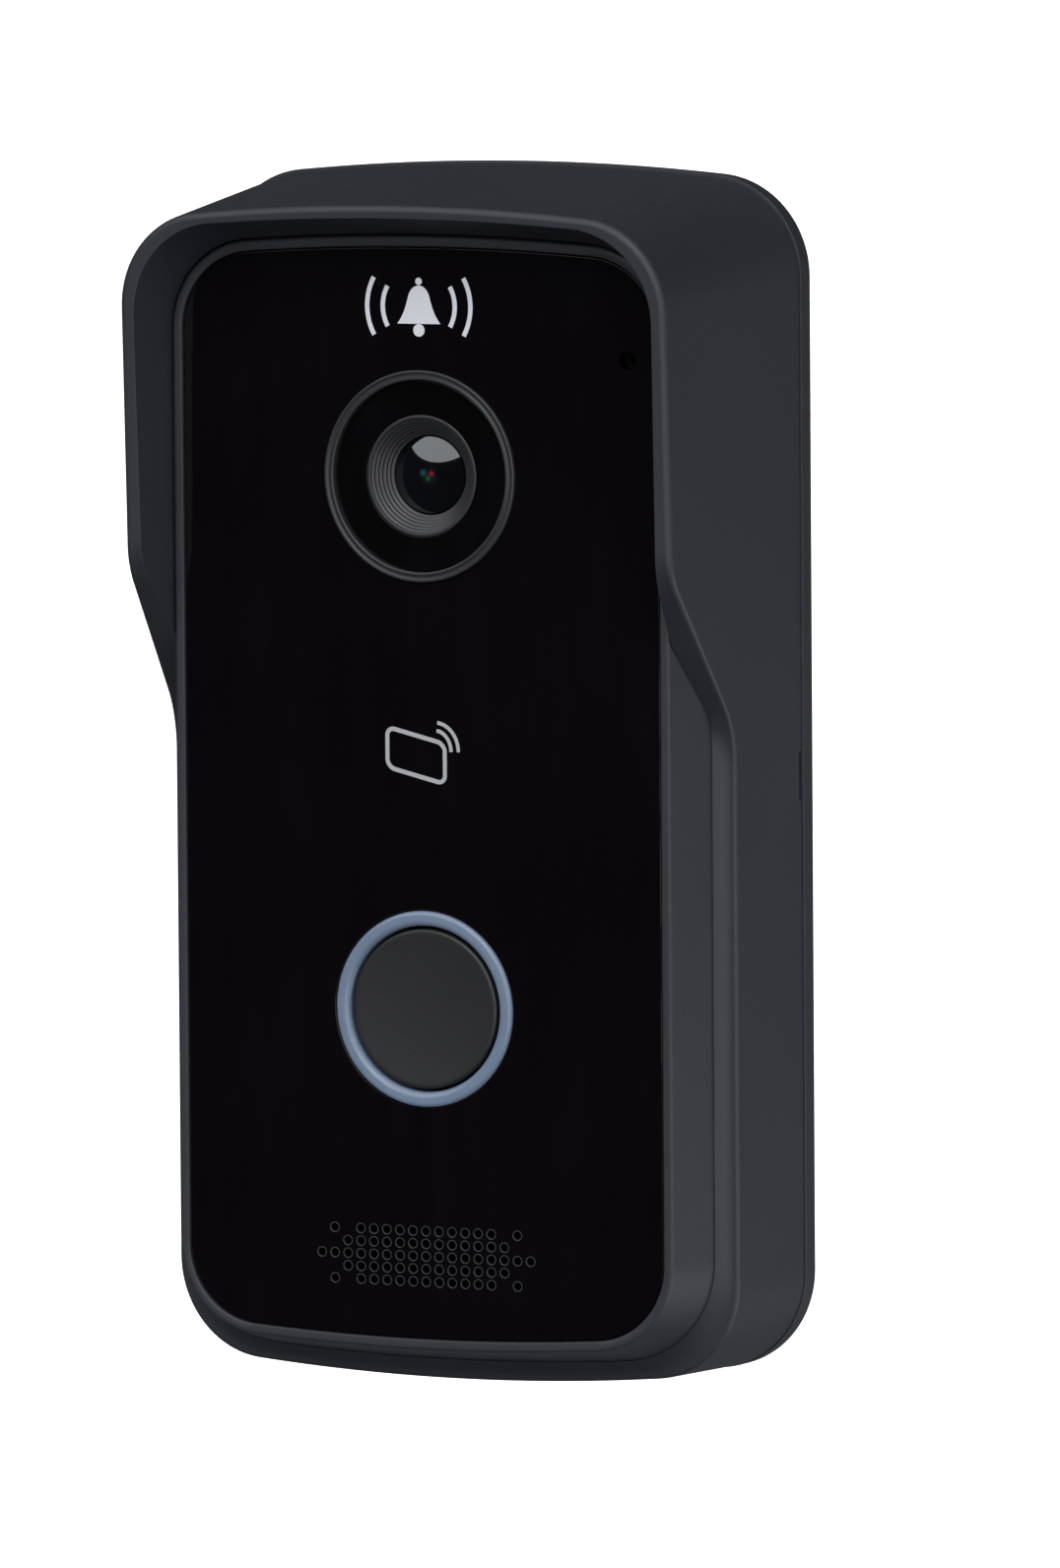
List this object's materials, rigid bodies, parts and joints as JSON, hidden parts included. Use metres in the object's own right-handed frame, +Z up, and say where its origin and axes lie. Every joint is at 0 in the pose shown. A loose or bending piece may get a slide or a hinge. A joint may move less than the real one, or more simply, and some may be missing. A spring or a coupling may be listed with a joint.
{
  "type": "video doorbell",
  "caption": "Wall-mounted video door station with a rain visor, camera, card reader field, lit call button and speaker grille.",
  "frame": {"origin": "middle of the wall bracket's flat rear face, at half the unit's height and width", "axes": "+Z up, +X to the right as a visitor sees the unit, the front faces -Y and the wall is the plane y = 0"},
  "size_m": [0.075, 0.0329, 0.14],
  "materials": {
    "shell_plastic": "fine textured black moulding",
    "panel_acrylic": "polished black acrylic sheet",
    "window_acrylic": "polished infrared-pass acrylic",
    "cap_plastic": "satin dark grey moulding",
    "light_guide": "translucent blue-grey light guide",
    "trim_plastic": "satin black moulding",
    "lens_glass": "coated lens glass",
    "anodised_metal": "black anodised",
    "circuit_board": "green solder mask",
    "chip_plastic": "black moulding compound",
    "copper_foil": "bare copper track",
    "steel": "zinc plated",
    "black_screw_steel": "black oxide",
    "rubber": "moulded silicone",
    "speaker_paper": "pressed paper cone",
    "dust_cloth": "woven acoustic cloth",
    "terminal_plastic": "green moulding",
    "connector_plastic": "natural nylon",
    "led_lens": "clear epoxy over phosphor"
  },
  "bodies": {
    "housing": {"board_screw_1": "steel", "board_screw_2": "steel", "board_screw_3": "steel", "board_screw_4": "steel", "button_board": "circuit_board", "button_light_ring": "light_guide", "button_return_pad": "rubber", "cable_grommet": "rubber", "camera_board": "circuit_board", "camera_trim_ring": "trim_plastic", "camera_window": "window_acrylic", "cover_screw_1": "steel", "cover_screw_2": "steel", "cover_screw_3": "steel", "cover_screw_4": "steel", "front_housing": "shell_plastic", "front_panel": "panel_acrylic", "grille_cloth": "dust_cloth", "image_sensor": "chip_plastic", "ir_led_1": "led_lens", "ir_led_2": "led_lens", "ir_led_3": "led_lens", "ir_led_4": "led_lens", "ir_led_board": "circuit_board", "lens_barrel": "anodised_metal", "lens_cone": "trim_plastic", "lens_front_element": "lens_glass", "lens_holder": "trim_plastic", "lens_rear_element": "lens_glass", "light_sensor": "chip_plastic", "lock_screw": "black_screw_steel", "main_board": "circuit_board", "microphone": "steel", "microphone_boot": "rubber", "network_connector": "connector_plastic", "outer_shell": "shell_plastic", "processor": "chip_plastic", "radio_shield_can": "steel", "reader_coil": "copper_foil", "reader_coil_board": "circuit_board", "rear_cover": "shell_plastic", "rear_seal": "rubber", "ring_led_1": "led_lens", "ring_led_2": "led_lens", "ring_led_3": "led_lens", "ring_led_4": "led_lens", "speaker_cone": "speaker_paper", "speaker_frame": "steel", "speaker_gasket": "rubber", "speaker_magnet": "steel", "supply_terminal_block": "terminal_plastic", "tact_switch_body": "chip_plastic", "tamper_spring": "steel", "tamper_switch_body": "chip_plastic", "wall_bracket": "shell_plastic", "wifi_antenna": "copper_foil"},
    "call_button": {"call_button_cap": "cap_plastic"},
    "switch_stem": {"tact_switch_stem": "connector_plastic"},
    "tamper_pin": {"tamper_plunger": "connector_plastic"}
  },
  "joints": [
    {"name": "call_button_press", "type": "slide", "parent": "housing", "child": "call_button", "axis": [0, 1, 0], "range_m": [0, 0.0006], "stiffness_N_per_m": 800, "deforming": ["button_return_pad"]},
    {"name": "switch_stem_press", "type": "slide", "parent": "housing", "child": "switch_stem", "axis": [0, 1, 0], "range_m": [0, 0.00065]},
    {"name": "tamper_release", "type": "slide", "parent": "housing", "child": "tamper_pin", "axis": [0, 1, 0], "range_m": [0, 0.0012], "stiffness_N_per_m": 250, "deforming": ["tamper_spring"]}
  ],
  "couplings": [
    {"joint": "switch_stem_press", "follows": "call_button_press", "ratio": 1}
  ]
}
